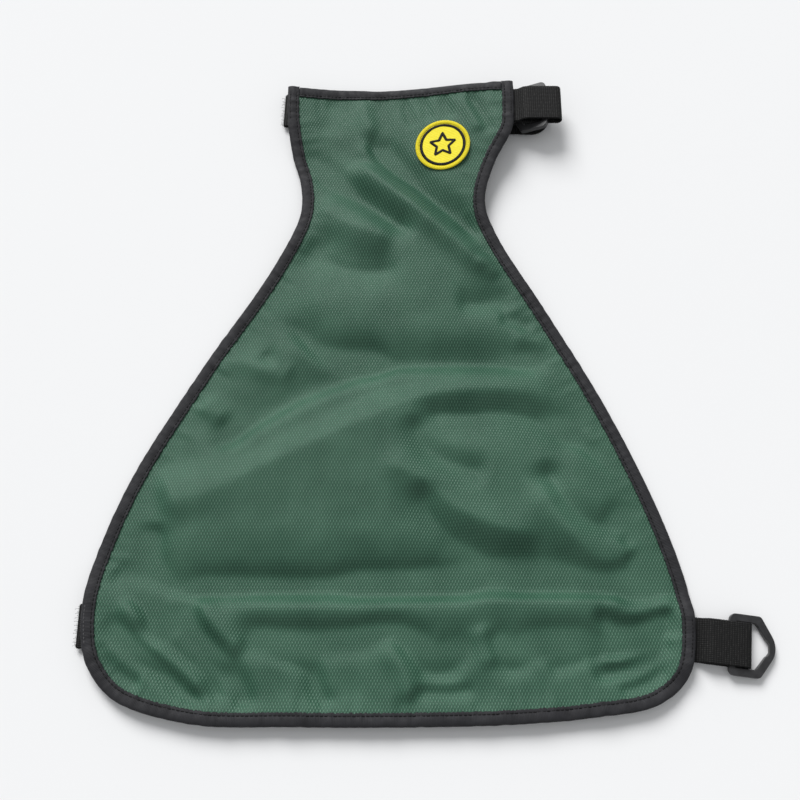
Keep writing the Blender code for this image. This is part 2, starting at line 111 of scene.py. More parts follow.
# Folds in the cloth: height, width on the line's left, width on its right, points along the line, mm.
# The first group crosses the panel, then the waist strap's ridge, the corners, the edges and the neck.
FOLDS = [
    (-4.8, 12, 6,
     [(-80, 243), (-63, 235), (-52, 224), (-38, 216), (-20, 212), (10, 212), (50, 212), (96, 212)]),
    (-5.0, 17, 6, [(-117, 156), (-100, 165), (-85, 176), (-65, 189), (-45, 198), (-25, 205), (2, 211)]),
    (-0.9, 6, 6, [(-122, 136), (-90, 152), (-50, 174), (-10, 193), (30, 201), (70, 203), (96, 206)]),
    (4.2, 14, 60,
     [(-136, 117), (-100, 134), (-60, 154), (-20, 173), (15, 187), (40, 191), (70, 191), (104, 186)]),
    (-4.6, 9, 15, [(6, 173), (22, 178), (40, 178), (60, 180), (80, 176), (95, 171), (112, 165)]),
    (-2.6, 7, 8, [(8, 178), (11, 164), (20, 153), (35, 146), (54, 142)]),
    (2.8, 11, 8, [(-16, 148), (4, 141), (17, 133), (30, 121), (48, 112), (64, 107), (84, 104)]),
    (-3.0, 10, 10, [(11, 138), (17, 118), (29, 105), (42, 98), (52, 90), (60, 79)]),
    (-3.4, 7, 8, [(84, 152), (90, 136), (98, 123), (108, 114), (117, 112), (128, 118), (136, 124)]),
    (3.4, 15, 10, [(80, 142), (86, 123), (95, 108), (105, 97), (115, 91), (126, 94), (138, 106)]),
    (-2.4, 4, 4, [(90, 173), (102, 164), (113, 156), (126, 147), (136, 142)]),
    (-4.0, 8, 9, [(-130, 62), (-121, 71), (-110, 75), (-80, 76), (-40, 76), (0, 77), (40, 78), (62, 79)]),
    (-2.6, 15, 9, [(-40, 76), (-10, 77), (20, 78), (50, 78)]),
    (-4.4, 22, 10, [(46, 80), (62, 80), (90, 80), (120, 80), (156, 80)]),
    (2.6, 10, 10, [(-116, 64), (-80, 64), (-40, 64), (0, 65), (40, 67), (70, 68), (110, 68), (150, 67)]),
    (-4.2, 8, 8,
     [(-98, 52), (-70, 47), (-48, 46), (-25, 48), (-5, 50), (8, 44), (20, 35), (32, 42), (46, 51)]),
    (-4.0, 8, 8, [(44, 53), (54, 45), (61, 36), (70, 43), (90, 46), (108, 43), (124, 37)]),
    (2.6, 6, 7, [(-8, 52), (-2, 38), (3, 26), (8, 12)]),
    (2.0, 6, 6, [(44, 56), (48, 44), (52, 30)]),
    (-1.6, 3, 3, [(6, 19), (18, 18), (30, 18), (42, 20)]),
    (-0.8, 3, 3, [(8, 29), (20, 28), (34, 29)]),
    (-3.0, 5, 5, [(-74, 44), (-60, 38), (-50, 31), (-45, 19), (-36, 8)]),
    (-1.6, 4, 4, [(80, 30), (90, 33), (102, 38)]),
    (-4.0, 6, 6, [(-121, 70), (-116, 56), (-106, 43), (-96, 32), (-88, 20), (-81, 4)]),
    (3.2, 7, 6, [(-113, 72), (-108, 60), (-99, 50), (-84, 40)]),
    (-3.6, 7, 7, [(-140, 114), (-141, 98), (-137, 82), (-132, 66)]),
    (-4.0, 7, 6, [(-162, 88), (-152, 79), (-141, 68), (-134, 55), (-128, 44)]),
    (-3.4, 5, 5, [(-166, 60), (-156, 50), (-146, 42), (-130, 29), (-114, 16), (-104, 6)]),
    (-3.0, 4, 4, [(-148, 58), (-134, 47), (-119, 36), (-103, 22), (-94, 8)]),
    (2.6, 5, 5, [(-158, 70), (-146, 58), (-134, 44), (-116, 30), (-102, 16)]),
    (-2.0, 4, 4, [(-170, 44), (-163, 36), (-154, 28), (-140, 20)]),
    (3.8, 6, 20, [(-122, 108), (-128, 120), (-134, 134), (-138, 150)]),
    (2.6, 7, 6, [(-120, 190), (-110, 180), (-102, 172)]),
    (1.8, 6, 6, [(-116, 212), (-100, 213), (-80, 208), (-62, 210)]),
    (-1.8, 5, 5, [(-84, 220), (-78, 213), (-66, 206)]),
    (-3.0, 4, 4, [(108, 64), (118, 54), (132, 52), (156, 60)]),
    (-3.0, 4, 4, [(112, 42), (124, 41), (138, 46), (158, 56)]),
    (-2.8, 4, 3, [(104, 26), (120, 30), (134, 35), (152, 48)]),
    (2.2, 4, 4, [(106, 35), (122, 36), (138, 41), (156, 52)]),
    (-2.0, 3, 3, [(118, 17), (134, 22), (148, 32)]),
    (2.0, 4, 4, [(114, 70), (126, 62), (140, 64), (156, 70)]),
    (-1.6, 3, 3, [(120, 112), (132, 118), (144, 126)]),
    (-1.6, 3, 3, [(126, 100), (136, 108), (148, 114)]),
    (-1.6, 3, 3, [(128, 88), (140, 95), (152, 98)]),
    (-2.6, 8, 7, [(32, 250), (46, 251), (60, 253), (72, 251)]),
    (-1.8, 4, 4, [(60, 241), (70, 240), (82, 236)]),
    (2.0, 6, 5, [(46, 282), (54, 276), (62, 268)]),
    (1.5, 5, 6, [(66, 228), (78, 227), (92, 224)]),
    (-5.0, 9, 5, [(-24, 376), (-14, 362), (-4, 350), (10, 336), (24, 322), (38, 310), (54, 294)]),
    (4.4, 7, 7, [(-30, 356), (-17, 339), (0, 322), (15, 308), (30, 295), (46, 279), (54, 266)]),
    (-4.2, 7, 8, [(-72, 358), (-56, 349), (-40, 337), (-22, 322), (-5, 308), (12, 296)]),
    (2.4, 10, 8, [(-54, 322), (-40, 309), (-22, 298), (-2, 291)]),
    (-4.0, 12, 14, [(-60, 300), (-47, 283), (-34, 275), (-18, 273), (4, 275)]),
    (1.8, 6, 5, [(-24, 404), (-23, 386), (-20, 370), (-26, 352)]),
    (-1.6, 4, 5, [(-11, 404), (-12, 390), (-9, 374), (-14, 358)]),
    (-1.4, 7, 7, [(-46, 402), (-45, 388), (-48, 370)]),
    (-1.2, 3, 3, [(2, 402), (5, 390), (9, 376)]),
    (-1.2, 3, 3, [(13, 401), (17, 390), (20, 380)]),
    (-1.2, 3, 3, [(28, 400), (30, 390), (33, 380)]),
    (-1.5, 4, 4, [(44, 400), (52, 384), (60, 366)]),
    (1.4, 4, 4, [(37, 400), (44, 386), (52, 368)]),
]  # fmt: skip
GRID_STEP = 1.4
FOLD_CREST = 1.8  # how blunt a fold's line is, mm
FIELD_X, FIELD_Y = (-190.0, 180.0), (-10.0, 420.0)


def smooth(value, low, high):
    share = np.clip((value - low) / (high - low), 0.0, 1.0)
    return share * share * (3.0 - 2.0 * share)


def catmull(points, per_span=16):
    """Points on a Catmull-Rom curve through these, chord lengths as the parameter, as in the CAD."""
    p = [np.array(q, float) for q in points]
    knots = [2 * p[0] - p[1], *p, 2 * p[-1] - p[-2]]
    found = []
    for a, b, c, d in zip(knots, knots[1:], knots[2:], knots[3:]):
        t1 = math.sqrt(np.linalg.norm(b - a))
        t2 = t1 + math.sqrt(np.linalg.norm(c - b))
        t3 = t2 + math.sqrt(np.linalg.norm(d - c))
        for k in range(per_span):
            t = t1 + (t2 - t1) * k / per_span
            ab = a + (b - a) * t / t1
            bc = b + (c - b) * (t - t1) / (t2 - t1)
            cd = c + (d - c) * (t - t2) / (t3 - t2)
            abc = ab + (bc - ab) * t / t2
            bcd = bc + (cd - bc) * (t - t1) / (t3 - t1)
            found.append(abc + (bcd - abc) * (t - t1) / (t2 - t1))
    return np.array([*found, p[-1]])


def resampled(path, step):
    """The path with points at even distances of about this step, and each one's distance along it."""
    path = np.array(path, float)
    lengths = np.concatenate([[0.0], np.cumsum(np.linalg.norm(np.diff(path, axis=0), axis=1))])
    want = np.linspace(0.0, lengths[-1], max(2, round(lengths[-1] / step) + 1))
    return np.stack([np.interp(want, lengths, path[:, i]) for i in range(path.shape[1])], 1), want


def directions(path):
    along = np.gradient(path, axis=0)
    return along / np.linalg.norm(along, axis=1)[:, None]


def inwards(path):
    """Unit normals on the path's left, which is the panel's inside."""
    along = directions(path)
    return np.stack([-along[:, 1], along[:, 0]], 1)


EDGE, _ = resampled(catmull(PANEL_EDGE), EDGE_STEP)
OUTLINE = np.concatenate([EDGE, resampled([EDGE[-1], EDGE[0]], EDGE_STEP)[0][1:-1]])
OUTLINE_TREE = kdtree.KDTree(len(OUTLINE))
for number, corner in enumerate(OUTLINE):
    OUTLINE_TREE.insert((corner[0], corner[1], 0.0), number)
OUTLINE_TREE.balance()


def from_edge(x, y):
    """Each point's distance from the panel's outline, and its place along it, mm."""
    found = [OUTLINE_TREE.find((a, b, 0.0)) for a, b in zip(x, y)]
    return np.array([f[2] for f in found]), np.array([f[1] for f in found]) * EDGE_STEP


def fold(x, y, height, left, right, line):
    """One ridge or valley's height at each point, faded at its ends."""
    path, at_path = resampled(catmull(line, 8), 0.7)
    along = directions(path)
    reach = 2.5 * max(left, right)
    near = (x > path[:, 0].min() - reach) & (x < path[:, 0].max() + reach)
    near &= (y > path[:, 1].min() - reach) & (y < path[:, 1].max() + reach)
    px, py = x[near], y[near]
    square = (px[:, None] - path[:, 0]) ** 2 + (py[:, None] - path[:, 1]) ** 2
    at = square.argmin(1)
    dx, dy = px - path[at, 0], py - path[at, 1]
    forward = dx * along[at, 0] + dy * along[at, 1]
    off = dy * along[at, 0] - dx * along[at, 1]
    width = left + (right - left) * smooth(-off, -2.0, 2.0)
    length = at_path[-1]
    place = at_path[at] + forward
    fade = min(0.45 * length, max(0.16 * length, 1.2 * max(left, right)))
    ends = smooth(place, 0.0, fade) * smooth(length - place, 0.0, fade)
    found = np.zeros(len(x))
    tail = 1.0 - smooth(np.abs(off), 0.6 * width, 2.2 * width)
    crease = np.exp(-(np.hypot(off, FOLD_CREST) - FOLD_CREST) / width) * tail
    found[near] = height * ends * crease
    return found


def strap_cover(x, y):
    """1 over a strap or loop tail under the panel, fading to 0 beside it, fast only on the neck side."""
    found = np.zeros(len(x))
    for left, middle, turn, length in STRAPS.values():
        off = y - middle - (x - left) * math.tan(math.radians(turn))
        neck_side = 9.0 + 25.0 * (1.0 - smooth(x, left + 30.0, left + 62.0))
        above = np.maximum(off - STRAP_WIDTH / 2, 0.0) / neck_side
        below = np.maximum(-off - STRAP_WIDTH / 2, 0.0) / 30.0
        beyond = np.maximum(x - left - length, 0.0) / 45.0 + np.maximum(left - x, 0.0) / 9.0
        found = np.maximum(found, 1.0 - smooth(np.hypot(above + below, beyond), 0.0, 1.0))
    for left, middle, *_ in LOOPS.values():
        away = np.maximum(np.abs(y - middle) - STRAP_WIDTH / 2, left - 8.0 - x)
        found = np.maximum(found, 1.0 - smooth(away, 0.0, 14.0))
    return found


def rough(x, y, scale, seed):
    return np.array([noise.noise((a / scale, b / scale, seed)) for a, b in zip(x, y)])


def surface_heights(x, y):
    """The shell's height at each point, from what is under it and its folds, mm."""
    away, along = from_edge(x, y)
    cover = strap_cover(x, y)
    billow = BILLOW * smooth(away, 6.0, 50.0) * smooth(y, 70.0, 110.0) * (1.0 - 0.8 * smooth(y, 300.0, 350.0))
    height = LOW + (ON_STRAP - LOW - smooth(y, 200.0, 300.0)) * cover + billow * (1.0 - 0.8 * cover)
    height += HEM_RISE * (1.0 - smooth(y, 2.0, 46.0))
    height += UPPER_RISE * (smooth(y, 214.0, 290.0) - smooth(y, 315.0, 375.0))
    height += LIFT * smooth(x, *LIFT_X) * smooth(y, *LIFT_Y)
    height += 4.0 * (1.0 - smooth(x, -74.0, -34.0)) * smooth(y, 345.0, 400.0)
    folds = FOLD_STRENGTH * sum(fold(x, y, *f) for f in FOLDS)
    height += folds * (0.15 + 0.85 * smooth(away, 4.0, 16.0))
    crumple = 0.24 + 0.5 * (1.0 - smooth(y, 20.0, 60.0))
    height += 0.55 * rough(x, y, 34.0, 1.0) + crumple * rough(x, y, 13.0, 2.0)
    pucker = rough(along, np.zeros(len(x)), 4.2, 7.0) * np.exp(-(((away - 11.0) / 8.0) ** 2))
    height += 0.95 * pucker
    lowest = LOWEST + (LOWEST_ON_STRAP - LOWEST) * smooth(cover, 0.5, 0.98)
    soft = 0.5
    return lowest + soft * np.logaddexp(0.0, (height - lowest) / soft)


class Field:
    """Heights on a grid, read between its points."""

    def __init__(self):
        self.nx = int((FIELD_X[1] - FIELD_X[0]) / GRID_STEP) + 1
        self.ny = int((FIELD_Y[1] - FIELD_Y[0]) / GRID_STEP) + 1
        x = FIELD_X[0] + GRID_STEP * np.arange(self.nx)
        y = FIELD_Y[0] + GRID_STEP * np.arange(self.ny)
        self.x, self.y = (a.ravel() for a in np.meshgrid(x, y))
        self.z = surface_heights(self.x, self.y).reshape(self.ny, self.nx)

    def at(self, x, y):
        u = np.clip((np.asarray(x, float) - FIELD_X[0]) / GRID_STEP, 0, self.nx - 1.001)
        v = np.clip((np.asarray(y, float) - FIELD_Y[0]) / GRID_STEP, 0, self.ny - 1.001)
        i, j = u.astype(int), v.astype(int)
        a, b = u - i, v - j
        z = self.z
        low = z[j, i] * (1 - a) + z[j, i + 1] * a
        high = z[j + 1, i] * (1 - a) + z[j + 1, i + 1] * a
        return low * (1 - b) + high * b


def build(name, points, faces, material, flat):
    """A mesh from points in the cutting frame, mm. flat gives each point's place on the cloth, mm."""
    points = np.asarray(points, float)
    placed = (points - np.array([ORIGIN[0], ORIGIN[1], 0.0])) * MM
    mesh = bpy.data.meshes.new(name)
    mesh.from_pydata(placed.tolist(), [], [list(f) for f in faces])
    mesh.materials.append(material)
    kept = mesh.attributes.new("flat", "FLOAT_VECTOR", "POINT")
    rows = np.zeros((len(points), 3), np.float32)
    rows[:, : np.shape(flat)[1]] = flat
    kept.data.foreach_set("vector", rows.ravel())
    mesh.polygons.foreach_set("use_smooth", [True] * len(mesh.polygons))
    mesh.update()
    made = bpy.data.objects.new(name, mesh)
    bpy.context.scene.collection.objects.link(made)
    return made


def grid_faces(rows, columns, closed_rows=False, closed_columns=False):
    """Quads of a grid of points kept row by row."""
    found = []
    for r in range(rows if closed_rows else rows - 1):
        s = (r + 1) % rows
        for c in range(columns if closed_columns else columns - 1):
            d = (c + 1) % columns
            found.append((r * columns + c, r * columns + d, s * columns + d, s * columns + c))
    return found


def tube_faces(rows, count):
    """Quads of a closed section swept through many rows, with both ends capped."""
    last = (rows - 1) * count
    caps = [tuple(range(count)), tuple(last + k for k in reversed(range(count)))]
    return grid_faces(rows, count, closed_columns=True) + caps


def repeated(points, faces, places, ahead, across, top):
    """A small mesh's points and faces at many places, its three axes turned to these."""
    every = (
        points[None, :, 0, None] * ahead[:, None]
        + points[None, :, 1, None] * across[:, None]
        + points[None, :, 2, None] * top[:, None]
        + places[:, None]
    ).reshape(-1, 3)
    count = len(points)
    return every, [tuple(i + count * n for i in f) for n in range(len(places)) for f in faces]


def outwards(made):
    """Turns a closed mesh's faces outwards."""
    shape = bmesh.new()
    shape.from_mesh(made.data)
    bmesh.ops.recalc_face_normals(shape, faces=shape.faces)
    shape.to_mesh(made.data)
    shape.free()
    return made


# ---------------------------------------------------------------- materials


class Look:
    """A Principled material with helpers to wire procedural detail."""

    def __init__(self, name, colour, roughness, **sockets):
        self.material = bpy.data.materials.new(name)
        self.material.use_nodes = True
        self.tree = self.material.node_tree
        self.shader = self.tree.nodes["Principled BSDF"]
        self.shader.inputs["Base Color"].default_value = (*colour, 1.0)
        self.shader.inputs["Roughness"].default_value = roughness
        for socket, value in sockets.items():
            self.shader.inputs[socket.replace("_", " ")].default_value = value

    def node(self, kind, **settings):
        made = self.tree.nodes.new(kind)
        for key, value in settings.items():
            setattr(made, key, value)
        return made

    def link(self, source, target):
        self.tree.links.new(source, target)

    def maths(self, operation, a, b=None):
        made = self.node("ShaderNodeMath", operation=operation)
        for socket, value in zip(made.inputs, (a, b)):
            if value is None:
                continue
            if isinstance(value, (int, float)):
                socket.default_value = value
            else:
                self.link(value, socket)
        return made.outputs[0]

    def flat(self):
        found = self.node("ShaderNodeAttribute", attribute_name="flat")
        split = self.node("ShaderNodeSeparateXYZ")
        self.link(found.outputs["Vector"], split.inputs[0])
        return found.outputs["Vector"], split.outputs["X"], split.outputs["Y"]

    def wave(self, along, pitch, shift=0.0):
        """A cosine of this pitch along a coordinate, from -1 to 1."""
        turned = self.maths("MULTIPLY_ADD", along, 2 * math.pi / pitch)
        turned.node.inputs[2].default_value = shift
        return self.maths("COSINE", turned)

    def noise(self, vector, scale, detail=2.0, roughness=0.5):
        made = self.node("ShaderNodeTexNoise")
        made.inputs["Scale"].default_value = scale
        made.inputs["Detail"].default_value = detail
        made.inputs["Roughness"].default_value = roughness
        self.link(vector, made.inputs["Vector"])
        return made.outputs["Fac"]

    def spread(self, value, low, high, to_low, to_high):
        made = self.node("ShaderNodeMapRange")
        for socket, number in zip(list(made.inputs)[1:5], (low, high, to_low, to_high)):
            socket.default_value = number
        self.link(value, made.inputs[0])
        return made.outputs[0]

    def colours(self, share, first, second):
        made = self.node("ShaderNodeMix", data_type="RGBA")
        self.link(share, made.inputs["Factor"])
        made.inputs["A"].default_value = (*first, 1.0)
        made.inputs["B"].default_value = (*second, 1.0)
        return made.outputs["Result"]

    def bump(self, height, distance, strength=1.0):
        made = self.node("ShaderNodeBump")
        made.inputs["Distance"].default_value = distance
        made.inputs["Strength"].default_value = strength
        self.link(height, made.inputs["Height"])
        return made.outputs["Normal"]

    def set(self, socket, value):
        self.link(value, self.shader.inputs[socket])


def shell_look():
    """Coated nylon with a staggered diamond weave, its raised cells painted lighter as a painted highlight.
    """
    look = Look("coated_green_cloth", (0.03, 0.09, 0.055), 0.42, Specular_IOR_Level=0.34)
    vector, x, y = look.flat()
    cell = look.maths("MULTIPLY", look.wave(x, 1.75), look.wave(y, 3.45))
    fine = look.maths("MULTIPLY", look.wave(x, 0.44), look.wave(y, 0.49))
    patchy = look.noise(vector, 0.035, 3.0)
    # Painted highlight: the weave's raised cells are painted lighter, then mixed with real random tone.
    painted_glint = look.spread(cell, 0.05, 0.85, 0.0, 0.72)
    tone = look.maths("ADD", painted_glint, look.spread(patchy, 0.3, 0.7, 0.0, 0.28))
    look.set("Base Color", look.colours(tone, (0.018, 0.070, 0.041), (0.086, 0.196, 0.130)))
    look.set("Roughness", look.spread(cell, -0.2, 0.9, 0.5, 0.3))
    rise = look.maths("ADD", look.spread(cell, -0.4, 0.9, 0.0, 1.0), look.maths("MULTIPLY", fine, 0.12))
    look.set("Normal", look.bump(rise, 0.00024))
    return look.material


def lining_look():
    look = Look("black_lining_cloth", (0.02, 0.022, 0.022), 0.6)
    vector, x, y = look.flat()
    weave = look.maths("MULTIPLY", look.wave(x, 0.9), look.wave(y, 0.9))
    share = look.spread(weave, -1, 1, 0, 1)
    look.set("Base Color", look.colours(share, (0.011, 0.012, 0.012), (0.028, 0.03, 0.03)))
    look.set("Roughness", look.spread(look.noise(vector, 0.05), 0.3, 0.7, 0.5, 0.7))
    look.set("Normal", look.bump(look.spread(weave, -1, 1, 0, 1), 0.0001))
    return look.material


def binding_look():
    """Folded polyester tape: fine ribs across it, and random patches of tone."""
    look = Look("charcoal_binding_tape", (0.02, 0.02, 0.022), 0.66, Specular_IOR_Level=0.24)
    vector, x, y = look.flat()
    ribs = look.wave(x, 0.85)
    yarn = look.maths("MULTIPLY", ribs, look.wave(y, 0.6))
    weave = look.spread(yarn, -1, 1, 0, 0.5)
    tone = look.maths("ADD", weave, look.spread(look.noise(vector, 0.12, 3), 0.3, 0.7, 0, 0.5))
    look.set("Base Color", look.colours(tone, (0.010, 0.010, 0.0115), (0.032, 0.032, 0.036)))
    look.set("Roughness", look.spread(look.noise(vector, 0.3), 0.3, 0.7, 0.5, 0.74))
    look.set("Normal", look.bump(look.spread(look.maths("ADD", ribs, yarn), -2, 2, 0, 1), 0.00014))
    return look.material


def webbing_look():
    """Black ribbed webbing, its yarn crossings painted light grey as a painted highlight."""
    look = Look("black_webbing", (0.007, 0.007, 0.007), 0.65, Specular_IOR_Level=0.25)
    vector, x, y = look.flat()
    ribs = look.wave(x, 1.39)
    yarns = look.wave(y, 1.05)
    dot = look.maths("MULTIPLY", look.spread(ribs, 0.1, 1.0, 0, 1), look.spread(yarns, 0.1, 1.0, 0, 1))
    # Painted highlight: light grey dots on the yarn crossings, thinned out by noise.
    painted_yarn_glint = look.maths("MULTIPLY", dot, look.spread(look.noise(vector, 0.7, 2), 0.42, 0.66, 0.06, 1.0))
    look.set("Base Color", look.colours(painted_yarn_glint, (0.0035, 0.0035, 0.0036), (0.075, 0.073, 0.070)))
    look.set("Roughness", look.spread(dot, 0, 1, 0.72, 0.45))
    rise = look.maths("ADD", look.spread(yarns, -1, 1, 0, 0.6), look.spread(ribs, -1, 1, 0, 0.4))
    look.set("Normal", look.bump(rise, 0.00018))
    return look.material


def thread_look(name, colour):
    look = Look(name, colour, 0.6, Specular_IOR_Level=0.22)
    vector, x, y = look.flat()
    twist = look.wave(look.maths("ADD", x, look.maths("MULTIPLY", y, 0.8)), 0.35)
    light = tuple(c * 1.5 for c in colour)
    dark = tuple(c * 0.6 for c in colour)
    look.set("Base Color", look.colours(look.spread(twist, -1, 1, 0, 1), dark, light))
    look.set("Roughness", look.spread(look.noise(vector, 1.5), 0.3, 0.7, 0.45, 0.7))
    look.set("Normal", look.bump(look.spread(twist, -1, 1, 0, 1), 0.00005))
    return look.material


def tape_look(name, colour, roughness, fuzz):
    look = Look(name, colour, roughness, Sheen_Weight=fuzz, Sheen_Roughness=0.6)
    vector, _, _ = look.flat()
    grain = look.noise(vector, 1.4, 4.0, 0.6)
    dark = tuple(c * 0.5 for c in colour)
    light = tuple(c * 1.7 for c in colour)
    look.set("Base Color", look.colours(look.spread(grain, 0.3, 0.7, 0, 1), dark, light))
    look.set("Roughness", look.spread(grain, 0.3, 0.7, roughness - 0.1, min(1.0, roughness + 0.1)))
    look.set("Normal", look.bump(grain, 0.0002))
    return look.material


def plastic_look():
    """Moulded acetal: satin, a fine grain, and handling marks."""
    look = Look("moulded_ring_plastic", (0.03, 0.03, 0.032), 0.38)
    place = look.node("ShaderNodeTexCoord").outputs["Object"]
    grain = look.noise(place, 2600.0, 3.0)
    marks = look.noise(place, 240.0, 4.0, 0.7)
    share = look.spread(marks, 0.35, 0.7, 0, 1)
    look.set("Base Color", look.colours(share, (0.015, 0.015, 0.016), (0.03, 0.03, 0.032)))
    look.set("Roughness", look.spread(marks, 0.3, 0.7, 0.3, 0.5))
    look.set("Normal", look.bump(grain, 0.00003, 0.6))
    return look.material


def patch_look():
    """Yellow embroidery fill in short flat rows."""
    look = Look("yellow_fill_stitch", (0.95, 0.82, 0.03), 0.6, Specular_IOR_Level=0.25)
    vector, x, y = look.flat()
    rows = look.wave(y, 0.42)
    steps = look.wave(look.maths("ADD", x, look.maths("MULTIPLY", y, 1.7)), 3.1)
    fill = look.spread(rows, -1, 1, 0, 0.7)
    tone = look.maths("ADD", fill, look.spread(look.noise(vector, 0.6, 3), 0.3, 0.7, 0, 0.3))
    look.set("Base Color", look.colours(tone, (0.86, 0.7, 0.014), (1.0, 0.9, 0.035)))
    look.set("Roughness", look.spread(steps, -1, 1, 0.42, 0.6))
    look.set("Normal", look.bump(look.spread(look.maths("ADD", rows, steps), -2, 2, 0, 1), 0.0001))
    return look.material


def floor_look():
    look = Look("pale_floor", (0.86, 0.862, 0.866), 0.9)
    place = look.node("ShaderNodeTexCoord").outputs["Object"]
    tone = look.spread(look.noise(place, 3.0), 0.3, 0.7, 0, 1)
    look.set("Base Color", look.colours(tone, (0.858, 0.86, 0.864), (0.862, 0.864, 0.868)))
    return look.material


SHELL_LOOK, LINING_LOOK, BINDING_LOOK = shell_look(), lining_look(), binding_look()
WEBBING_LOOK, PLASTIC_LOOK, PATCH_LOOK = webbing_look(), plastic_look(), patch_look()
THREAD_LOOK = thread_look("black_thread", (0.006, 0.006, 0.0065))
GREY_THREAD_LOOK = thread_look("grey_thread", (0.075, 0.074, 0.078))
BORDER_LOOK = thread_look("yellow_thread", (0.8, 0.67, 0.02))
HOOK_LOOK = tape_look("hook_tape", (0.008, 0.008, 0.0085), 0.55, 0.0)
PILE_LOOK = tape_look("loop_pile", (0.012, 0.012, 0.0125), 0.85, 0.15)


# ---------------------------------------------------------------- cloth

FIELD = Field()
CLOTH_INSET = 0.9
CLOTH_SPACING = 2.6


def cloth_points():
    """Points of a cloth layer, rim first, and its triangles."""
    side, _ = resampled(EDGE, CLOTH_SPACING)
    rim = side + inwards(side) * CLOTH_INSET
    rim[0, 1] = rim[-1, 1] = TOP_Y - CLOTH_INSET
    top, _ = resampled([rim[-1], rim[0]], CLOTH_SPACING)
    rim = np.concatenate([rim, top[1:-1]])
    rows = []
    y, odd = 1.0, False
    while y < TOP_Y:
        x = np.arange(-180.0 + (CLOTH_SPACING / 2 if odd else 0.0), 170.0, CLOTH_SPACING)
        rows.append(np.stack([x, np.full(len(x), y)], 1))
        y += CLOTH_SPACING * 0.866
        odd = not odd
    inside = np.concatenate(rows)
    away, _ = from_edge(inside[:, 0], inside[:, 1])
    inside = inside[(away > CLOTH_INSET + 0.6 * CLOTH_SPACING) & within(inside, rim)]
    points = [Vector(p) for p in np.concatenate([rim, inside])]
    found = delaunay_2d_cdt(points, [], [list(range(len(rim)))], 1, 1e-5)
    return np.array([tuple(p) for p in found[0]]), found[2]


def within(points, rim):
    """Which points are inside a closed outline."""
    inside = np.zeros(len(points), bool)
    x, y = points[:, 0], points[:, 1]
    for a, b in zip(rim, np.roll(rim, -1, axis=0)):
        if a[1] == b[1]:
            continue
        crosses = (a[1] > y) != (b[1] > y)
        inside ^= crosses & (x < a[0] + (y - a[1]) / (b[1] - a[1]) * (b[0] - a[0]))
    return inside


def build_cloth():
    points, faces = cloth_points()
    x, y = points.T
    height = FIELD.at(x, y)
    shell = build("shell_cloth", np.stack([x, y, height], 1), faces, SHELL_LOOK, points)
    under = [tuple(reversed(f)) for f in faces]
    lining = build("lining_cloth", np.stack([x, y, height - PLY], 1), under, LINING_LOOK, points)
    for made, node in ((shell, "outer_shell"), (lining, "lining")):
        finer = made.modifiers.new("finer", "SUBSURF")
        finer.levels = finer.render_levels = 1
        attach(made, "root")
        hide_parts(node)
    return shell, lining


# ---------------------------------------------------------------- bindings and stitches

# Section of the folded binding: distance in from the edge, height from the shell's surface, mm
BINDING_SECTION = [
    (7.5, 0.34), (7.62, 0.66), (7.1, 0.8), (6.4, 0.74), (5.9, 0.62), (5.2, 0.84), (4.2, 1.02),
    (3.0, 1.08), (1.9, 1.0), (1.0, 0.78), (0.35, 0.4), (0.0, -0.2), (0.1, -0.8), (0.6, -1.25),
    (1.4, -1.5), (3.0, -1.6), (5.9, -1.45), (7.5, -1.5), (7.5, -1.15), (4.0, -1.1), (1.3, -1.05),
    (0.7, -0.4), (1.3, 0.32), (4.0, 0.36),
]  # fmt: skip


def binding(name, path, along, node):
    section = np.array(BINDING_SECTION)
    side = inwards(path)
    wave = np.array([noise.noise((s / 5.0, 3.0, 0.0)) for s in along])
    ripple = np.array([noise.noise((s / 2.1, 9.0, 0.0)) for s in along])
    pull = np.cos(2 * math.pi * along / STITCH_PITCH)
    rows, flats = [], []
    for k, (distance, height) in enumerate(section):
        inner = smooth(np.array(distance), 5.5, 7.5)
        d = distance + inner * (0.24 * pull + 0.5 * ripple) + 0.25 * wave
        q = path + side * d[:, None]
        swell = (0.3 * wave + 0.2 * ripple) * (1.0 if height > 0 else -0.5)
        dimple = -0.07 * inner * (1 + pull) * (height > 0)
        z = FIELD.at(q[:, 0], q[:, 1]) + height + swell * smooth(np.array(distance), 0.0, 2.0) + dimple
        rows.append(np.column_stack([q, z]))
        flats.append(np.column_stack([along, np.full(len(along), k * 0.9)]))
    points = np.stack(rows, 1).reshape(-1, 3)
    flat = np.stack(flats, 1).reshape(-1, 2)
    faces = tube_faces(len(path), len(section))
    made = outwards(build(name, points, faces, BINDING_LOOK, flat))
    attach(made, "root")
    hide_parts(node)
    return made


def capsule(length, radius, sides=6):
    """A stitch: a thin lozenge along X that dips at its ends, with its flat coordinates."""
    rows = [
        (-0.5, 0.25, -0.75), (-0.42, 0.8, -0.3), (-0.2, 1.0, 0.1),
        (0.2, 1.0, 0.1), (0.42, 0.8, -0.3), (0.5, 0.25, -0.75),
    ]  # fmt: skip
    points, flat = [], []
    for at, size, rise in rows:
        for k in range(sides):
            turn = 2 * math.pi * k / sides
            side, top = size * radius * math.cos(turn), radius * (rise + size * math.sin(turn) * 0.8)
            points.append((at * length, side, top))
            flat.append((at * length, radius * turn))
    faces = grid_faces(len(rows), sides, closed_columns=True)
    faces += [tuple(reversed(range(sides))), tuple((len(rows) - 1) * sides + k for k in range(sides))]
    return np.array(points), faces, np.array(flat)


